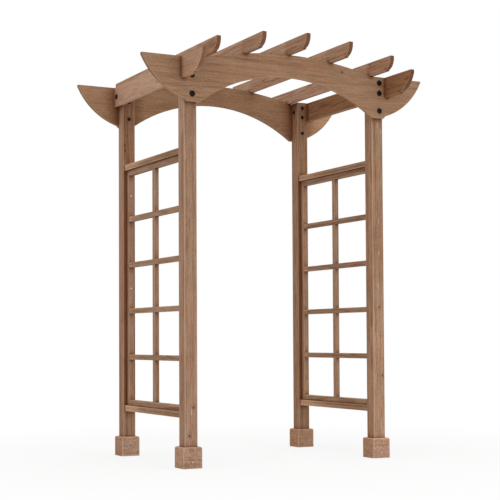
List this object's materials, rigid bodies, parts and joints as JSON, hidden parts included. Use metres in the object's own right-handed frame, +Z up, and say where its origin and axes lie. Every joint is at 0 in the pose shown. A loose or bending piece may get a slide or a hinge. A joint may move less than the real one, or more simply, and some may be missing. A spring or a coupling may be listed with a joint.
{
  "type": "garden arbor",
  "caption": "Free-standing wooden garden arbor with arched beams on square posts, curved-end rafters across the top and open lattice panels at the sides",
  "frame": {"origin": "on the ground at the middle of the four posts", "axes": "+X along the arched beams to the right, +Y from front to back through the walkway, +Z up"},
  "size_m": [1.65, 1.41, 2.1795],
  "materials": {
    "post_timber": "sawn and stained softwood, matt",
    "foot_timber": "sawn and stained softwood, matt",
    "beam_timber": "planed and stained softwood, matt",
    "rafter_timber": "planed and stained softwood, matt",
    "rail_timber": "planed and stained softwood, matt",
    "lattice_timber": "planed and stained softwood, matt"
  },
  "bodies": {
    "root": {"front_left_post": "post_timber", "front_right_post": "post_timber", "back_left_post": "post_timber", "back_right_post": "post_timber", "front_left_foot_wide_boards": "foot_timber", "front_left_foot_short_boards": "foot_timber", "front_right_foot_wide_boards": "foot_timber", "front_right_foot_short_boards": "foot_timber", "back_left_foot_wide_boards": "foot_timber", "back_left_foot_short_boards": "foot_timber", "back_right_foot_wide_boards": "foot_timber", "back_right_foot_short_boards": "foot_timber", "front_arch_beam": "beam_timber", "back_arch_beam": "beam_timber", "left_side_rafter": "rafter_timber", "right_side_rafter": "rafter_timber", "top_rafter_1": "rafter_timber", "top_rafter_2": "rafter_timber", "top_rafter_3": "rafter_timber", "top_rafter_4": "rafter_timber", "top_rafter_5": "rafter_timber", "left_bottom_rail": "rail_timber", "left_top_rail": "rail_timber", "right_bottom_rail": "rail_timber", "right_top_rail": "rail_timber", "left_lattice_front_stile": "lattice_timber", "left_lattice_back_stile": "lattice_timber", "left_lattice_bottom_bar": "lattice_timber", "left_lattice_top_bar": "lattice_timber", "left_lattice_cross_bar_1": "lattice_timber", "left_lattice_cross_bar_2": "lattice_timber", "left_lattice_cross_bar_3": "lattice_timber", "left_lattice_cross_bar_4": "lattice_timber", "left_lattice_upright": "lattice_timber", "right_lattice_front_stile": "lattice_timber", "right_lattice_back_stile": "lattice_timber", "right_lattice_bottom_bar": "lattice_timber", "right_lattice_top_bar": "lattice_timber", "right_lattice_cross_bar_1": "lattice_timber", "right_lattice_cross_bar_2": "lattice_timber", "right_lattice_cross_bar_3": "lattice_timber", "right_lattice_cross_bar_4": "lattice_timber", "right_lattice_upright": "lattice_timber"}
  },
  "joints": []
}
